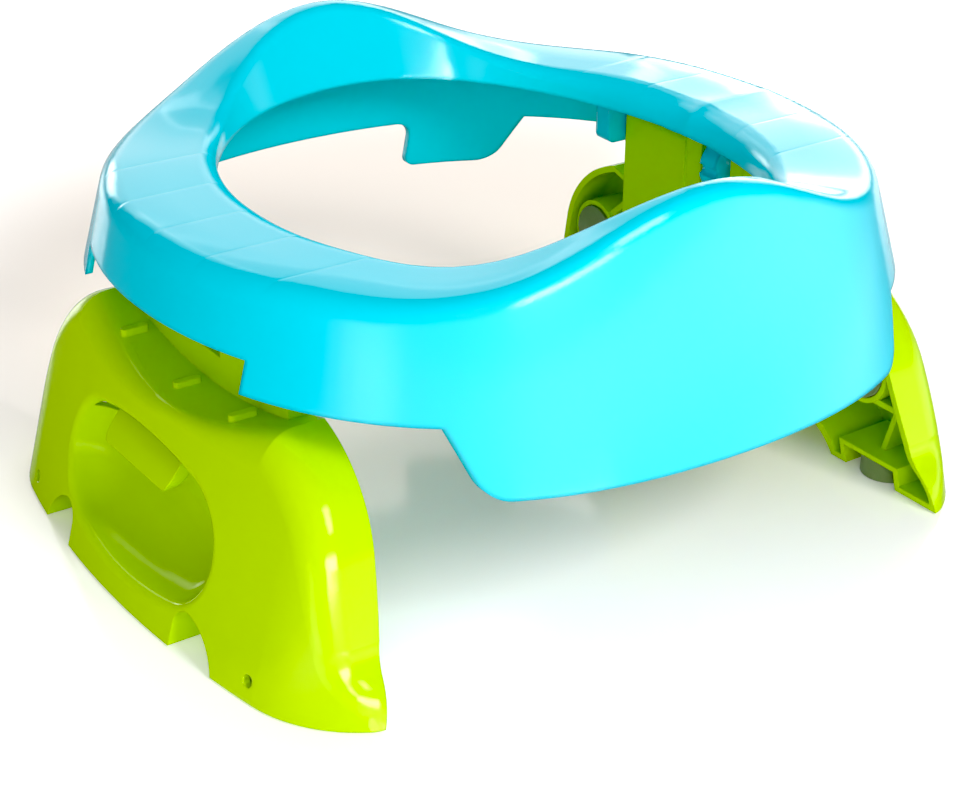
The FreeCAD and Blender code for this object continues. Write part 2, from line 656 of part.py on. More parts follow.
def bowlLip(form):
    """The leg's form with the bowl cut in and the edge between them rounded."""
    hollow = bowl("bowl_inside", "0")
    opened = cutFrom("leg_bowled", form, hollow)
    doc.recompute()

    def onLip(edge, middle):
        first, last = edge.ParameterRange
        spots = [Part.Vertex(edge.valueAt(first + (last - first) * share)) for share in (0.1, 0.5, 0.9)]
        near = max(solid.Shape.distToShape(spot)[0] for solid in (form, hollow) for spot in spots)
        sides = [face for face in opened.Shape.Faces if any(edge.isSame(other) for other in face.Edges)]
        normals = [face.normalAt(*face.Surface.parameter(middle)) for face in sides]
        return near < 0.01 and len(sides) == 2 and normals[0].getAngle(normals[1]) > 0.2

    return rounded("leg_form", opened, lambda end: worth("bowlLip"), onLip)


def legShell():
    outer = bowlLip(legForm("leg_outer", "0", "1"))
    inner = legForm("leg_inner", "wall", "0.5")
    cavity = cutFrom("leg_cavity", inner, legWalls())
    shell = cutFrom("leg_shell_blank", outer, cavity)
    trimmed = cutFrom("leg_trimmed", shell, rimCut())
    inside, outside = "neckIn - 20", "footOut + 20"
    arch = prism("arch", "YZ", archOutline("0"), inside, outside)
    socket = block("socket", (inside, "socketIn", "-20"), ("socketDeep", "socketOut", "socketTop"))
    seat = cylinder("pad_seat", "x", "padRadius + padFit", ("neckIn", "padHalf", "padLevel"),
                    "padFace + padThick - neckIn")
    stemHole = cylinder("stem_hole", "x", "stemRadius", ("neckIn", "padHalf", "padLevel"),
                        "padFace + padThick + stemLong + 2 - neckIn")
    screw = cylinder("screw_hole", "x", "screwRadius", ("socketDeep - 2", "screwHalf", "screwLevel"), "20")
    voids = []
    for piece in (arch, socket, seat, stemHole, screw):
        voids += frontAndRear(piece)
    opened = cutFrom("leg_opened", trimmed, *voids)
    whole = joined("leg_whole", opened, neck(), *ledgeBars())
    passage = block("arm_passage", ("neckIn - 5", "-slotHalf", "neckFoot - 1"),
                    ("neckOut + 3", "slotHalf", "ledgeMiddle - wall"))
    channel = block("arm_channel", ("neckIn - 5", "-slotHalf", "neckFoot - 1"),
                    ("neckOut - wall", "slotHalf", slotFloor + " + 1"))
    pin = cylinder("pivot_bore", "y", "pivotRadius", ("pivotOut", "-(tongueHalf + 10)", "pivotLevel"),
                   "2 * (tongueHalf + 10)")
    face = "footOut - 1.35 - ({}) * tan(lean)"
    low, high = "pivotLevel - 9", "pivotLevel + 1"
    relief = prism("flap_relief", "XZ", [
        ("pivotOut + 2", low), ("pivotOut + 2", high), (face.format(high), high), (face.format(low), low)],
        "-(tongueHalf + cheekGap)", "tongueHalf + cheekGap")
    springHole = cylinder("spring_hole", "z", "springWire", ("pivotOut + springRadius", "springOut - 0.8", "pivotLevel"),
                          "springPost")
    return cutFrom("leg_shell", whole, passage, channel, pin, relief, springHole)


# ---- latch lever ---------------------------------------------------------------------------------------

def lever():
    """The flap in the finger bowl, its knuckle, and the arm that reaches up to the latch disc."""
    slope = "((tongueTipOut - pivotOut - knuckleRadius - 1) / (pivotLevel - tongueTipLevel))"
    top = ("pivotOut + knuckleRadius + 1.2", "pivotLevel - 2")
    tip = ("tongueTipOut", "tongueTipLevel")
    foot = (f"tongueTipOut - tongueThick", "tongueTipLevel - 0.8")
    plate = prism("tongue_plate", "XZ", [
        ("pivotOut", "pivotLevel + 2"), top,
        ((f"({top[0]} + {tip[0]}) / 2 + tongueBulge", f"({top[1]} + {tip[1]}) / 2"), tip),
        (("tongueTipOut - tongueThick / 2 + 0.4", "tongueTipLevel - 1.9"), foot),
        (f"pivotOut + knuckleRadius - 1", f"pivotLevel - 4 / {slope}"), ("pivotOut", "pivotLevel - 2")],
        "-tongueHalf", "tongueHalf")
    outline = prism("tongue_outline", "YZ", [
        ("-tongueHalf", "pivotLevel + 10"), ("-tongueHalf", "tongueTipLevel - 2.2 + tongueRound"),
        (("-(tongueHalf - tongueRound * (1 - cos(45)))",
          "tongueTipLevel - 2.2 + tongueRound * (1 - sin(45))"),
         ("-(tongueHalf - tongueRound)", "tongueTipLevel - 2.2")),
        ("tongueHalf - tongueRound", "tongueTipLevel - 2.2"),
        (("tongueHalf - tongueRound * (1 - cos(45))", "tongueTipLevel - 2.2 + tongueRound * (1 - sin(45))"),
         ("tongueHalf", "tongueTipLevel - 2.2 + tongueRound")),
        ("tongueHalf", "pivotLevel + 10")], "pivotOut - 10", "tongueTipOut + 10")
    tongue = shared("tongue", plate, outline)
    knuckle = cylinder("knuckle", "y", "knuckleRadius", ("pivotOut", "-tongueHalf", "pivotLevel"), "2 * tongueHalf")
    discBottom = "(hingeLevel - discRadius - noseGap)"
    arm = prism("latch_arm", "XZ", [
        ("pivotOut", "pivotLevel + 2.5"), ("armIn + armThick + 2", "pivotLevel + 2.5"),
        ("armIn + armThick", "pivotLevel + 4.5"), ("armIn + armThick", f"{discBottom} - 7"),
        ("hingeOut + 1.4", f"{discBottom} - 4"), ("hingeOut + 1.4", discBottom),
        ("hingeOut - 1.4", discBottom), ("armIn", f"{discBottom} - 5"),
        ("armIn", "pivotLevel"), ("armIn + 2", "pivotLevel - 2"), ("pivotOut", "pivotLevel - 2.5")],
        "-armHalf", "armHalf")
    body = joined("lever_body", tongue, knuckle, arm)
    pocket = block("spring_pocket", ("pivotOut - 6", "springIn", "pivotLevel - 6"),
                   ("pivotOut + knuckleRadius - 0.2", "springOut", "pivotLevel + 6"))
    bore = cylinder("lever_bore", "y", "pivotRadius + runFit", ("pivotOut", "-tongueHalf - 1", "pivotLevel"),
                    "2 * tongueHalf + 2")
    return cutFrom("latch_lever", body, pocket, bore)


def spring():
    """The torsion spring on the lever pin, its close turns as touching rings. One leg stands under the
    ledge and the other hooks under the arm, drawn as it sits with the lever fully pulled."""
    pieces = []
    for number in range(4):
        turn = doc.addObject("Part::Torus", f"spring_turn_{number}")
        turn.setExpression("Radius1", tied("springRadius"))
        turn.setExpression("Radius2", tied("springWire"))
        pieces.append(place(turn, ("pivotOut", f"springOut - 0.8 - {number} * springPitch", "pivotLevel"),
                            ALONG["y"]))
    post = cylinder("spring_post", "z", "springWire", ("pivotOut + springRadius", "springOut - 0.8", "pivotLevel"),
                    "springPost")
    near = "springOut - 0.8 - 3 * springPitch"
    arm = cylinder("spring_arm", "z", "springWire * 0.97",
                   ("pivotOut + springRadius * sin(springTilt * 1 deg)", near, "pivotLevel - springRadius * cos(springTilt * 1 deg)"),
                   "springLeg")
    arm.Placement.Rotation = Rotation(Vector(0, 1, 0), -90 - worth("springTilt"))
    end = ("pivotOut + springRadius * sin(springTilt * 1 deg) - springLeg * cos(springTilt * 1 deg)", near,
           "pivotLevel - springRadius * cos(springTilt * 1 deg) - springLeg * sin(springTilt * 1 deg)")
    bend = doc.addObject("Part::Sphere", "spring_bend")
    bend.setExpression("Radius", tied("springWire"))
    place(bend, end)
    hook = cylinder("spring_hook", "y", "springWire", (end[0], f"{near} - springHook", end[2]), "springHook")
    return joined("lever_spring", *pieces, post, arm, bend, hook)


def smallParts():
    hingePin = cylinder("hinge_pin", "y", "pinRadius",
                        ("hingeOut", "neckHalf + sideGap + lugThick - pinLong", "hingeLevel"), "pinLong")
    leverPin = cylinder("lever_pin", "y", "pivotRadius",
                        ("pivotOut", "-(tongueHalf + cheekGap + cheekThick)", "pivotLevel"),
                        "2 * (tongueHalf + cheekGap + cheekThick)")
    disc = cylinder("grip_disc", "x", "padRadius", ("padFace", "padHalf", "padLevel"), "padThick")
    stem = cylinder("grip_stem", "x", "stemRadius", ("padFace", "padHalf", "padLevel"), "padThick + stemLong")
    gripPad = joined("grip_pad", disc, stem)
    footPad = cylinder("foot_pad", "z", "footPadRadius", ("footPadOut", "footPadHalf", "0"), "socketTop")
    return {"hinge_pin": hingePin, "grip_pad": gripPad, "foot_pad": footPad}, {"lever_pin": leverPin}


parts = {"seat_ring": seatRing()}
paired, single = smallParts()
single = {"leg_shell": legShell(), "latch_lever": lever(), "lever_spring": spring(),
          **single}
for name, solid in single.items():
    right, left = leftAndRight(solid)
    parts[name + "_right"] = right
    parts[name + "_left"] = left
for name, solid in paired.items():
    rear, front = frontAndRear(solid)
    for piece, end in ((rear, "rear"), (front, "front")):
        right, left = leftAndRight(piece)
        parts[f"{name}_right_{end}"] = right
        parts[f"{name}_left_{end}"] = left

doc.recompute()
failed = [thing.Name for thing in doc.Objects if {"Invalid", "Error"} & set(thing.State)]
if failed:
    raise RuntimeError(f"these objects failed: {failed}")
os.makedirs("parts", exist_ok=True)
for name, part in parts.items():
    part.Label = name
    if part.Shape.isNull() or not part.Shape.isValid() or len(part.Shape.Solids) != 1:
        raise RuntimeError(f"{name} is not one valid solid")
    part.Shape.exportStep(f"parts/{name}.step")
    print(name, round(part.Shape.Volume))
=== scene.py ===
import math
import json

import bpy
import bmesh
from mathutils import Matrix, Vector

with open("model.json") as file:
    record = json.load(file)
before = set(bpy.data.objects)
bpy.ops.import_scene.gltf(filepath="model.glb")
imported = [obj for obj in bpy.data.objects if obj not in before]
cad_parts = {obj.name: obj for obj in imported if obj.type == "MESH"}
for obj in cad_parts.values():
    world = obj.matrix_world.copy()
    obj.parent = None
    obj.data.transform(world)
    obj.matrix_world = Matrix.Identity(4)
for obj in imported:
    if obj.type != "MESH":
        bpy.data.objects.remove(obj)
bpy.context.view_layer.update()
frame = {"nodes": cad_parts, "record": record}

nodes = frame["nodes"]
print("frame loaded:", len(nodes), "nodes")


# camera

view = {
    "azimuth": -34.98,      # degrees, 0 looks along +Y
    "elevation": 26.89,
    "roll": 0.62,
    "distance": 0.6924,     # metres from the point it turns about
    "aimUp": -0.0547,       # shift of that point across the view
    "aimRight": -0.00267,
    "aimHeight": 0.092,     # above the floor
    "lens": 77.2,
}


def makeCamera():
    azimuth, elevation = math.radians(view["azimuth"]), math.radians(view["elevation"])
    back = Vector((math.sin(azimuth) * math.cos(elevation), -math.cos(azimuth) * math.cos(elevation),
                   math.sin(elevation)))
    right = Vector((math.cos(azimuth), math.sin(azimuth), 0))
    up = back.cross(right)
    turn = Matrix.Rotation(math.radians(view["roll"]), 3, back)
    right, up = turn @ right, turn @ up
    data = bpy.data.cameras.new("camera")
    data.lens = view["lens"]
    data.sensor_width = 36
    camera = bpy.data.objects.new("camera", data)
    aim = Vector((0, 0, view["aimHeight"])) + right * view["aimRight"] + up * view["aimUp"]
    axes = Matrix((right, up, back)).transposed().to_4x4()
    camera.matrix_world = Matrix.Translation(aim + back * view["distance"]) @ axes
    bpy.context.collection.objects.link(camera)
    bpy.context.scene.camera = camera


makeCamera()
print("camera set")


# shader groups

def newGroup(name, inputs, outputs):
    group = bpy.data.node_groups.new(name, "ShaderNodeTree")
    kinds = {"color": "NodeSocketColor", "value": "NodeSocketFloat", "vector": "NodeSocketVector"}
    for label, kind, default in inputs:
        socket = group.interface.new_socket(label, in_out="INPUT", socket_type=kinds[kind])
        if default is not None:
            socket.default_value = default
    for label, kind in outputs:
        group.interface.new_socket(label, in_out="OUTPUT", socket_type=kinds[kind])
    return group


def addNode(tree, kind, values=None, **settings):
    node = tree.nodes.new("ShaderNode" + kind)
    for name, setting in settings.items():
        setattr(node, name, setting)
    for name, value in (values or {}).items():
        node.inputs[name].default_value = value
    return node


def wire(tree, source, target):
    tree.links.new(source, target)
    return target


def mixColor(tree, factor, one, other, blend="MIX"):
    node = addNode(tree, "Mix", data_type="RGBA", blend_type=blend)
    for socket, value in ((node.inputs[0], factor), (node.inputs[6], one), (node.inputs[7], other)):
        if isinstance(value, bpy.types.NodeSocket):
            tree.links.new(value, socket)
        else:
            socket.default_value = value
    return node.outputs[2]


def math1(tree, operation, one, other=None, clamp=False):
    node = addNode(tree, "Math", operation=operation, use_clamp=clamp)
    for socket, value in ((node.inputs[0], one), (node.inputs[1], other)):
        if isinstance(value, bpy.types.NodeSocket):
            tree.links.new(value, socket)
        elif value is not None:
            socket.default_value = value
    return node.outputs[0]


def spread(tree, source, near, far, nearValue=0.0, farValue=1.0, smooth=False):
    ends = {"From Min": near, "From Max": far, "To Min": nearValue, "To Max": farValue}
    node = addNode(tree, "MapRange", ends, interpolation_type="SMOOTHSTEP" if smooth else "LINEAR")
    wire(tree, source, node.inputs["Value"])
    return node.outputs[0]


def noise(tree, place, scale, detail, rough=0.5):
    node = addNode(tree, "TexNoise", {"Scale": scale, "Detail": detail, "Roughness": rough})
    wire(tree, place, node.inputs["Vector"])
    return node.outputs[0]


def addPlace(tree):
    return addNode(tree, "TexCoord").outputs["Object"]


def splitAxes(tree, place):
    split = addNode(tree, "SeparateXYZ")
    wire(tree, place, split.inputs[0])
    return split.outputs


def addGroupEnds(group):
    return group.nodes.new("NodeGroupInput").outputs, group.nodes.new("NodeGroupOutput").inputs


moulding = {
    "cloudScale": 9.0,                      # scales are per metre
    "cloudEdge": (0.35, 0.7),               # noise between which a cloud fades in
    "cloudRough": 0.04,                     # roughness that a cloud adds
    "peelScale": 420.0,
    "scratchStretch": (60.0, 900.0, 900.0),
    "scratchTurn": (0.3, 0.5, 0.9),
    "scratchEdge": (0.66, 0.74),
    "scratchRough": 0.3,
}


# soft flow clouds, orange peel and a few hair scratches of a moulded part
def makeMouldedSkin():
    tree = newGroup("mouldedSkin", [
        ("Color", "color", (0.5, 0.5, 0.5, 1)), ("Deep", "color", (0.3, 0.3, 0.3, 1)),
        ("Cloud", "value", 0.3), ("Gloss", "value", 0.25), ("Peel", "value", 0.5), ("Scratch", "value", 0.3)],
        [("Color", "color"), ("Roughness", "value"), ("Height", "value")])
    given, result = addGroupEnds(tree)
    place = addPlace(tree)
    clouds = spread(tree, noise(tree, place, moulding["cloudScale"], 3.0, 0.55), *moulding["cloudEdge"])
    amount = math1(tree, "MULTIPLY", clouds, given["Cloud"])
    wire(tree, mixColor(tree, amount, given["Color"], given["Deep"]), result["Color"])
    peel = math1(tree, "MULTIPLY", noise(tree, place, moulding["peelScale"], 2.0), given["Peel"])
    stretch = addNode(tree, "Mapping", {
        "Scale": moulding["scratchStretch"], "Rotation": moulding["scratchTurn"]})
    wire(tree, place, stretch.inputs["Vector"])
    cut = spread(tree, noise(tree, stretch.outputs[0], 1.0, 4.0, 0.7), *moulding["scratchEdge"])
    cut = math1(tree, "MULTIPLY", cut, given["Scratch"])
    haze = math1(tree, "MULTIPLY", clouds, moulding["cloudRough"])
    rough = math1(tree, "ADD", math1(tree, "MULTIPLY", cut, moulding["scratchRough"]), given["Gloss"])
    wire(tree, math1(tree, "ADD", rough, haze), result["Roughness"])
    wire(tree, math1(tree, "SUBTRACT", peel, cut), result["Height"])
    return tree


# small dark moulding specks, thinly sown
def makeSpecks():
    tree = newGroup("specks", [
        ("Spacing", "value", 0.03), ("Size", "value", 0.0004), ("Share", "value", 0.3)],
        [("Mask", "value")])
    given, result = addGroupEnds(tree)
    place = addPlace(tree)
    cells = addNode(tree, "TexVoronoi", feature="F1")
    wire(tree, place, cells.inputs["Vector"])
    wire(tree, math1(tree, "DIVIDE", 1.0, given["Spacing"]), cells.inputs["Scale"])
    reach = math1(tree, "MULTIPLY", cells.outputs["Distance"], given["Spacing"])
    dot = math1(tree, "LESS_THAN", reach, given["Size"])
    chance = addNode(tree, "SeparateColor")
    wire(tree, cells.outputs["Color"], chance.inputs[0])
    chosen = math1(tree, "LESS_THAN", chance.outputs[0], given["Share"])
    wire(tree, math1(tree, "MULTIPLY", dot, chosen), result["Mask"])
    return tree


banding = {
    "creaseHalf": 0.0011,       # from the middle of a crease to its end
    "levelStep": 500.0,         # how fast the planks set in above their level, per metre
}


# the seat's side bands: shallow planks that meet in creases, and a top that falls away towards the outside
def makeBandForm():
    tree = newGroup("bandForm", [
        ("Plank", "value", 0.026), ("Planked", "value", 0.065), ("Sag", "value", 0.0001),
        ("Groove", "value", 0.00005), ("Level", "value", 0.117), ("Fall From", "value", 0.108),
        ("Fall", "value", 5.0)],
        [("Height", "value")])
    given, result = addGroupEnds(tree)
    x, y, z = splitAxes(tree, addPlace(tree))
    along = math1(tree, "ABSOLUTE", y)
    half = math1(tree, "MULTIPLY", given["Plank"], 0.5)
    away = math1(tree, "PINGPONG", along, half)
    share = math1(tree, "SUBTRACT", 1.0, math1(tree, "DIVIDE", away, half))
    sag = math1(tree, "MULTIPLY", math1(tree, "POWER", share, 2.0), given["Sag"])
    crease = spread(tree, away, 0.0, banding["creaseHalf"], 1.0, 0.0, smooth=True)
    groove = math1(tree, "MULTIPLY", crease, given["Groove"])
    planked = math1(tree, "LESS_THAN", along, given["Planked"])
    above = math1(tree, "SUBTRACT", z, given["Level"])
    level = math1(tree, "MULTIPLY", above, banding["levelStep"], clamp=True)
    planks = math1(tree, "MULTIPLY", math1(tree, "ADD", sag, groove), planked)
    planks = math1(tree, "MULTIPLY", planks, level)
    flat = addNode(tree, "CombineXYZ")
    wire(tree, x, flat.inputs[0])
    wire(tree, y, flat.inputs[1])
    reach = addNode(tree, "VectorMath", operation="LENGTH")
    wire(tree, flat.outputs[0], reach.inputs[0])
    beyond = math1(tree, "SUBTRACT", reach.outputs["Value"], given["Fall From"])
    beyond = math1(tree, "MAXIMUM", beyond, 0.0)
    fall = math1(tree, "MULTIPLY", math1(tree, "POWER", beyond, 2.0), given["Fall"])
    wire(tree, math1(tree, "MULTIPLY", math1(tree, "ADD", planks, fall), -1.0), result["Height"])
    return tree


drawing = {
    "lineRough": 0.2,
    "blotchScale": 180.0,
    "blotchEdge": (0.4, 0.7),
    "blotchRough": 0.12,
}


# fine lines that run round a drawn or turned piece
def makeDrawnLines():
    tree = newGroup("drawnLines", [
        ("Stretch", "vector", (60.0, 4000.0, 60.0)), ("Color", "color", (0.6, 0.6, 0.6, 1)),
        ("Dull", "color", (0.4, 0.4, 0.4, 1)), ("Gloss", "value", 0.25)],
        [("Color", "color"), ("Roughness", "value"), ("Height", "value")])
    given, result = addGroupEnds(tree)
    place = addPlace(tree)
    scaled = addNode(tree, "VectorMath", operation="MULTIPLY")
    wire(tree, place, scaled.inputs[0])
    wire(tree, given["Stretch"], scaled.inputs[1])
    lines = noise(tree, scaled.outputs[0], 1.0, 3.0, 0.6)
    blotch = spread(tree, noise(tree, place, drawing["blotchScale"], 3.0, 0.6), *drawing["blotchEdge"])
    wire(tree, mixColor(tree, blotch, given["Color"], given["Dull"]), result["Color"])
    lined = math1(tree, "MULTIPLY", lines, drawing["lineRough"])
    worn = math1(tree, "ADD", lined, math1(tree, "MULTIPLY", blotch, drawing["blotchRough"]))
    wire(tree, math1(tree, "ADD", given["Gloss"], worn), result["Roughness"])
    wire(tree, lines, result["Height"])
    return tree


dusting = {
    "patchScale": 120.0,
    "patchEdge": (0.45, 0.75),
    "patchRough": 0.15,
    "plainRough": 0.5,
}


# a soft matt grain with pale dust in it
def makeRubberGrain():
    tree = newGroup("rubberGrain", [
        ("Color", "color", (0.3, 0.4, 0.2, 1)), ("Dust", "color", (0.5, 0.5, 0.4, 1)),
        ("Dusty", "value", 0.3), ("Grain", "value", 900.0)],
        [("Color", "color"), ("Roughness", "value"), ("Height", "value")])
    given, result = addGroupEnds(tree)
    place = addPlace(tree)
    fine = addNode(tree, "TexNoise", {"Detail": 2.0, "Roughness": 0.5})
    wire(tree, place, fine.inputs["Vector"])
    wire(tree, given["Grain"], fine.inputs["Scale"])
    patches = spread(tree, noise(tree, place, dusting["patchScale"], 4.0, 0.65), *dusting["patchEdge"])
    amount = math1(tree, "MULTIPLY", patches, given["Dusty"])
    wire(tree, mixColor(tree, amount, given["Color"], given["Dust"]), result["Color"])
    dull = math1(tree, "MULTIPLY", patches, dusting["patchRough"])
    wire(tree, math1(tree, "ADD", dull, dusting["plainRough"]), result["Roughness"])
    wire(tree, fine.outputs[0], result["Height"])
    return tree


glowTurns = {       # degrees from +X between which each change happens
    "start": (-170, -153),
    "window": (-150, -140),
    "left": (-135, -98),
    "end": (-50, 16),
}


# how bright the surroundings look in gloss, by the compass: a bright front with a window at its left end
def makeFrontGlow():
    tree = newGroup("frontGlow", [("Window", "value", 2.0), ("Left", "value", 0.6), ("Glow", "value", 6.0)],
                    [("Strength", "value")])
    given, result = addGroupEnds(tree)
    x, y, z = splitAxes(tree, addPlace(tree))
    angle = math1(tree, "MULTIPLY", math1(tree, "ARCTAN2", y, x), math.degrees(1))
    rise = spread(tree, angle, *glowTurns["start"], smooth=True)
    fall = spread(tree, angle, *glowTurns["end"], 1.0, 0.0, smooth=True)
    strength = math1(tree, "MULTIPLY", math1(tree, "MULTIPLY", rise, fall), given["Glow"])
    for label, turns in (("Window", glowTurns["window"]), ("Left", glowTurns["left"])):
        blend = addNode(tree, "Mix", data_type="FLOAT")
        wire(tree, spread(tree, angle, *turns, smooth=True), blend.inputs[0])
        wire(tree, given[label], blend.inputs[2])
        blend.inputs[3].default_value = 1.0
        strength = math1(tree, "MULTIPLY", strength, blend.outputs[0])
    wire(tree, strength, result["Strength"])
    return tree


mouldedSkin = makeMouldedSkin()
specks = makeSpecks()
bandForm = makeBandForm()
drawnLines = makeDrawnLines()
rubberGrain = makeRubberGrain()
frontGlow = makeFrontGlow()
print("shader groups built")


# materials

def newMaterial(name):
    material = bpy.data.materials.new(name)
    material.use_nodes = True
    return material, material.node_tree, material.node_tree.nodes["Principled BSDF"]


def useGroup(tree, group, values):
    node = tree.nodes.new("ShaderNodeGroup")
    node.node_tree = group
    for label, value in values.items():
        node.inputs[label].default_value = value
    return node.outputs


def addBump(tree, height, distance, strength, before=None):
    bump = addNode(tree, "Bump", {"Strength": strength, "Distance": distance})
    wire(tree, height, bump.inputs["Height"])
    if before is not None:
        wire(tree, before, bump.inputs["Normal"])
    return bump.outputs[0]


def makePlastic(name, values, form=None):
    material, tree, shader = newMaterial(name)
    skin = useGroup(tree, mouldedSkin, values["skin"])
    marks = useGroup(tree, specks, values["specks"])
    wire(tree, mixColor(tree, marks["Mask"], skin["Color"], values["speckColor"]), shader.inputs["Base Color"])
    wire(tree, skin["Roughness"], shader.inputs["Roughness"])
    normal = addNode(tree, "Bevel", {"Radius": values["edge"]}, samples=4).outputs[0]
    if form is not None:
        normal = addBump(tree, useGroup(tree, bandForm, form)["Height"], 1.0, 1.0, normal)
    wire(tree, addBump(tree, skin["Height"], *values["bump"], normal), shader.inputs["Normal"])
    shader.inputs["Specular Tint"].default_value = values["tint"]
    shader.inputs["IOR"].default_value = values["ior"]
    return material


seat = {
    "skin": {"Color": (0.012, 0.62, 0.78, 1), "Deep": (0.01, 0.59, 0.76, 1), "Cloud": 0.4, "Gloss": 0.11,
             "Peel": 0.5, "Scratch": 0.3},
    "specks": {"Spacing": 0.045, "Size": 0.00035, "Share": 0.22},
    "speckColor": (0.0, 0.12, 0.16, 1),
    "tint": (0.85, 0.97, 1.0, 1),
    "ior": 1.43,
    "edge": 0.0021,
    "bump": (0.0004, 0.04),     # distance and strength
}
seatForm = {"Plank": 0.0262, "Planked": 0.0655, "Sag": 0.00009, "Groove": 0.000045, "Level": 0.117,
            "Fall From": 0.107, "Fall": 5.5}
legs = {
    "skin": {"Color": (0.47, 0.72, 0.0, 1), "Deep": (0.41, 0.66, 0.0, 1), "Cloud": 0.5, "Gloss": 0.13,
             "Peel": 0.5, "Scratch": 0.3},
    "specks": {"Spacing": 0.04, "Size": 0.0003, "Share": 0.15},
    "speckColor": (0.08, 0.12, 0.0, 1),
    "tint": (0.95, 1.0, 0.7, 1),
    "ior": 1.33,
    "edge": 0.0007,
    "bump": (0.0004, 0.04),
}
seatPlastic = makePlastic("seatPlastic", seat, seatForm)
legPlastic = makePlastic("legPlastic", legs)


def makeMetal(name, values):
    material, tree, shader = newMaterial(name)
    lines = useGroup(tree, drawnLines, values["lines"])
    wire(tree, lines["Color"], shader.inputs["Base Color"])
    wire(tree, lines["Roughness"], shader.inputs["Roughness"])
    wire(tree, addBump(tree, lines["Height"], *values["bump"]), shader.inputs["Normal"])
    shader.inputs["Metallic"].default_value = 1
    return material


pin = {
    "lines": {"Stretch": (60.0, 4000.0, 60.0), "Color": (0.62, 0.63, 0.64, 1),
              "Dull": (0.46, 0.46, 0.46, 1), "Gloss": 0.16},
    "bump": (0.0001, 0.15),
}
spring = {
    "lines": {"Stretch": (900.0, 900.0, 900.0), "Color": (0.52, 0.53, 0.55, 1),
              "Dull": (0.34, 0.34, 0.35, 1), "Gloss": 0.22},
    "bump": (0.0001, 0.15),
}
pinSteel = makeMetal("pinSteel", pin)
springSteel = makeMetal("springSteel", spring)

pad = {
    "grain": {"Color": (0.17, 0.24, 0.08, 1), "Dust": (0.32, 0.38, 0.20, 1), "Dusty": 0.4, "Grain": 1400.0},
    "edge": 0.0005,
    "bump": (0.0003, 0.25),
    "sheen": (0.2, 0.5),        # weight and roughness
}


def makeRubber(name, values):
    material, tree, shader = newMaterial(name)
    grain = useGroup(tree, rubberGrain, values["grain"])
    wire(tree, grain["Color"], shader.inputs["Base Color"])
    wire(tree, grain["Roughness"], shader.inputs["Roughness"])
    edge = addNode(tree, "Bevel", {"Radius": values["edge"]}, samples=4).outputs[0]
    wire(tree, addBump(tree, grain["Height"], *values["bump"], edge), shader.inputs["Normal"])
    weight, rough = values["sheen"]
    shader.inputs["Sheen Weight"].default_value = weight
    shader.inputs["Sheen Roughness"].default_value = rough
    return material


padRubber = makeRubber("padRubber", pad)

finishes = {"seat_plastic": seatPlastic, "leg_plastic": legPlastic, "pad_rubber": padRubber,
            "pin_steel": pinSteel, "spring_steel": springSteel}
for part in frame["record"]["subparts"]:
    mesh = nodes[part["node"]].data
    mesh.materials.clear()
    mesh.materials.append(finishes[part["material_slot"]])
print("materials made")


# floor and light

stage = {
    "floorSize": 3.9,                   # half its side, and the radius of the surroundings
    "floorDrop": 0.0002,
    "near": (0.91, 0.80, 0.70, 1),      # painted shade: darker and warmer around and under the object
    "far": (0.97, 0.97, 0.97, 1),
    "middle": (0.09, 0.16, 0),          # of the near part
    "spread": (0.15, 0.33),             # radii between which one turns into the other
    "lift": 0.26,                       # light added to the far part
    "inGloss": (0.25, 0.25, 0.25, 1),   # the floor as gloss shows it
    "gloss": 0.12,
    "glow": {"Window": 2.1, "Left": 0.55, "Glow": 2.7},     # the front as gloss shows it
    "glowFrom": (0.26, 0.45),           # radii between which the floor takes that glow on
    "band": (3.5, 1.4),                 # radius of the bright band and its height above the floor
    "bandTop": (0.35, 0.62),            # heights between which it fades
    "horizon": 0.8,                     # brightness of the surroundings, which no gloss shows
    "zenith": 0.22,
    "skyFade": (0.39, 2.145),           # heights between which one turns into the other
    "black": 0.03,                      # brightness that comes out as black
    "air": 0.08,                        # what gloss shows where there is no lamp
    "lampAim": 0.1,                     # height that every lamp points at
}
# name: azimuth and elevation it shines from, distance, size, radiance, and whether gloss shows it,
# where "only" means that it lights nothing but gloss
lamps = {
    "key": (-84, 36, 1.5, (0.42, 0.42), 24, True),
    "streak": (-98, 9.4, 1.6, (0.76, 0.23), 38, "only"),
    "fillFront": (-120, 26, 1.6, (0.8, 0.8), 3.6, False),
    "fillLeft": (-150, 12, 1.6, (0.8, 0.6), 1.4, False),
    "wallLeft": (72.7, 15.5, 2.2, (1.93, 1.16), 2.0, True),
    "wallRight": (34.5, 15.5, 2.2, (1.14, 1.16), 3.2, True),
    "wallHigh": (86, 38, 2.0, (0.56, 0.72), 2.0, True),
    "wallCorner": (66.5, 36.5, 2.1, (0.86, 0.56), 1.7, True),
    "glareRight": (33, 7.5, 2.1, (1.0, 0.42), 2, True),
    "glareLeft": (91, 9, 2.1, (0.6, 0.5), 4.5, True),
}


def stageObject(name, build, material):
    mesh = bpy.data.meshes.new(name)
    shape = bmesh.new()
    build(shape)
    shape.to_mesh(mesh)
    shape.free()
    thing = bpy.data.objects.new(name, mesh)
    mesh.materials.append(material)
    bpy.context.collection.objects.link(thing)
    return thing


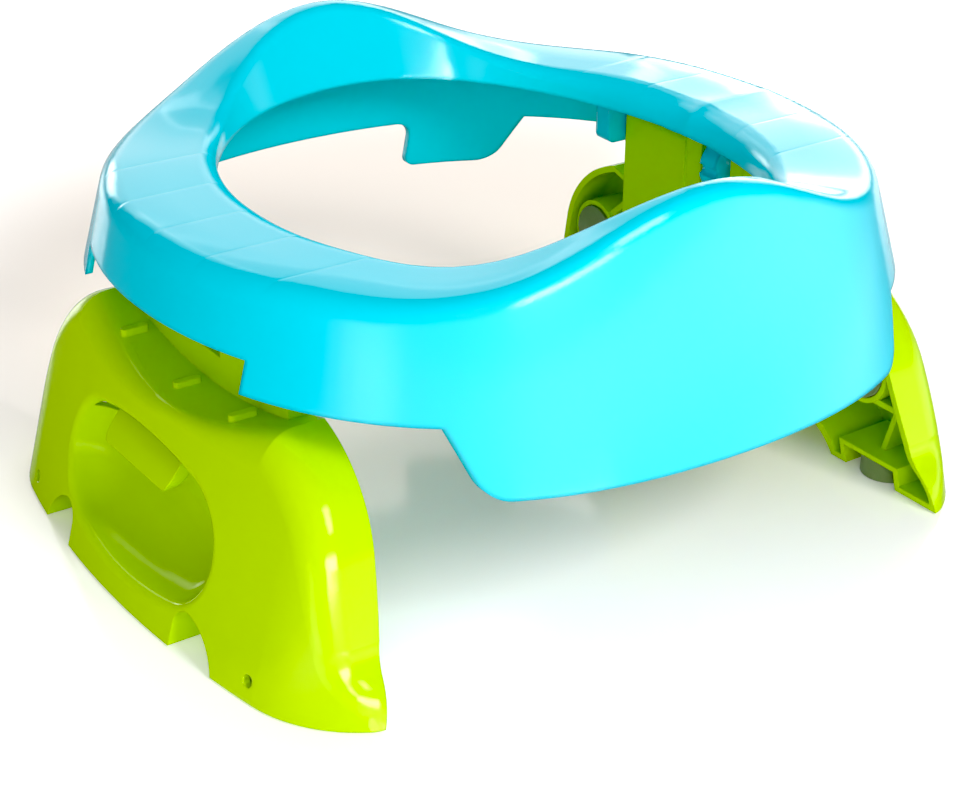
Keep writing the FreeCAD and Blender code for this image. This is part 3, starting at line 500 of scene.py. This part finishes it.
def makeFloor():
    material, tree, shader = newMaterial("floorGloss")
    shift = addNode(tree, "VectorMath", operation="DISTANCE")
    wire(tree, addPlace(tree), shift.inputs[0])
    shift.inputs[1].default_value = stage["middle"]
    reach = shift.outputs["Value"]
    # painted shade and light: the floor is darker and warmer near the object and pale with added glow far from
    # it; in gloss it shows darker and glows round the front
    fade = spread(tree, reach, *stage["spread"], smooth=True)
    seen = mixColor(tree, fade, stage["near"], stage["far"])
    mirrored = addNode(tree, "LightPath").outputs["Is Glossy Ray"]
    wire(tree, mixColor(tree, mirrored, seen, stage["inGloss"]), shader.inputs["Base Color"])
    plain = math1(tree, "SUBTRACT", 1.0, mirrored)
    lift = math1(tree, "MULTIPLY", math1(tree, "MULTIPLY", fade, plain), stage["lift"])
    glow = math1(tree, "MULTIPLY", useGroup(tree, frontGlow, stage["glow"])["Strength"], mirrored)
    glow = math1(tree, "MULTIPLY", glow, spread(tree, reach, *stage["glowFrom"], smooth=True))
    wire(tree, math1(tree, "ADD", lift, glow), shader.inputs["Emission Strength"])
    shader.inputs["Emission Color"].default_value = (1, 1, 1, 1)
    shader.inputs["Roughness"].default_value = stage["gloss"]
    floor = stageObject("floor", lambda shape: bmesh.ops.create_grid(
        shape, x_segments=1, y_segments=1, size=stage["floorSize"]), material)
    floor.location.z = -stage["floorDrop"]


def newGlow(name):
    material, tree, shader = newMaterial(name)
    shader.inputs["Emission Color"].default_value = (1, 1, 1, 1)
    shader.inputs["Base Color"].default_value = (0, 0, 0, 1)
    shader.inputs["Specular IOR Level"].default_value = 0
    x, y, z = splitAxes(tree, addPlace(tree))
    return material, tree, z, shader.inputs["Emission Strength"]


def makeSurroundings():
    material, tree, height, strength = newGlow("paleSurroundings")
    glow = spread(tree, height, *stage["skyFade"], stage["horizon"], stage["zenith"], smooth=True)
    wire(tree, glow, strength)
    dome = stageObject("surroundings", lambda shape: bmesh.ops.create_uvsphere(
        shape, u_segments=48, v_segments=24, radius=stage["floorSize"]), material)
    dome.visible_glossy = False
    dome.visible_shadow = False


# a low bright band round the front, which only gloss shows
def makeFrontBand():
    material, tree, height, strength = newGlow("frontBandLight")
    fade = spread(tree, height, *stage["bandTop"], 1.0, 0.0, smooth=True)
    glow = math1(tree, "MULTIPLY", useGroup(tree, frontGlow, stage["glow"])["Strength"], fade)
    wire(tree, glow, strength)
    radius, half = stage["band"]
    band = stageObject("frontBand", lambda shape: bmesh.ops.create_cone(
        shape, cap_ends=False, segments=64, radius1=radius, radius2=radius, depth=2 * half), material)
    band.visible_camera = False
    band.visible_diffuse = False
    band.visible_transmission = False
    band.visible_shadow = False


def makeLamp(name, azimuth, elevation, distance, size, radiance, mirrored):
    data = bpy.data.lights.new(name, "AREA")
    data.shape = "RECTANGLE"
    data.size, data.size_y = size
    data.energy = radiance * math.pi * size[0] * size[1]
    lamp = bpy.data.objects.new(name, data)
    turn, rise = math.radians(azimuth), math.radians(elevation)
    way = Vector((math.cos(turn) * math.cos(rise), math.sin(turn) * math.cos(rise), math.sin(rise)))
    lamp.location = Vector((0, 0, stage["lampAim"])) + way * distance
    lamp.rotation_euler = way.to_track_quat("Z", "Y").to_euler()
    lamp.visible_glossy = bool(mirrored)
    lamp.visible_diffuse = mirrored != "only"
    lamp.visible_camera = False
    bpy.context.collection.objects.link(lamp)


makeFloor()
makeSurroundings()
makeFrontBand()
for name, values in lamps.items():
    makeLamp(name, *values)
world = bpy.data.worlds.new("studio")
bpy.context.scene.world = world
world.use_nodes = True
air = world.node_tree.nodes["Background"].inputs
air["Color"].default_value = (1, 1, 1, 1)
air["Strength"].default_value = stage["air"]
shown = bpy.context.scene.view_settings
shown.view_transform = "Standard"
shown.use_curve_mapping = True
shown.curve_mapping.black_level = (stage["black"],) * 3
shown.curve_mapping.update()
print("floor and lights set")
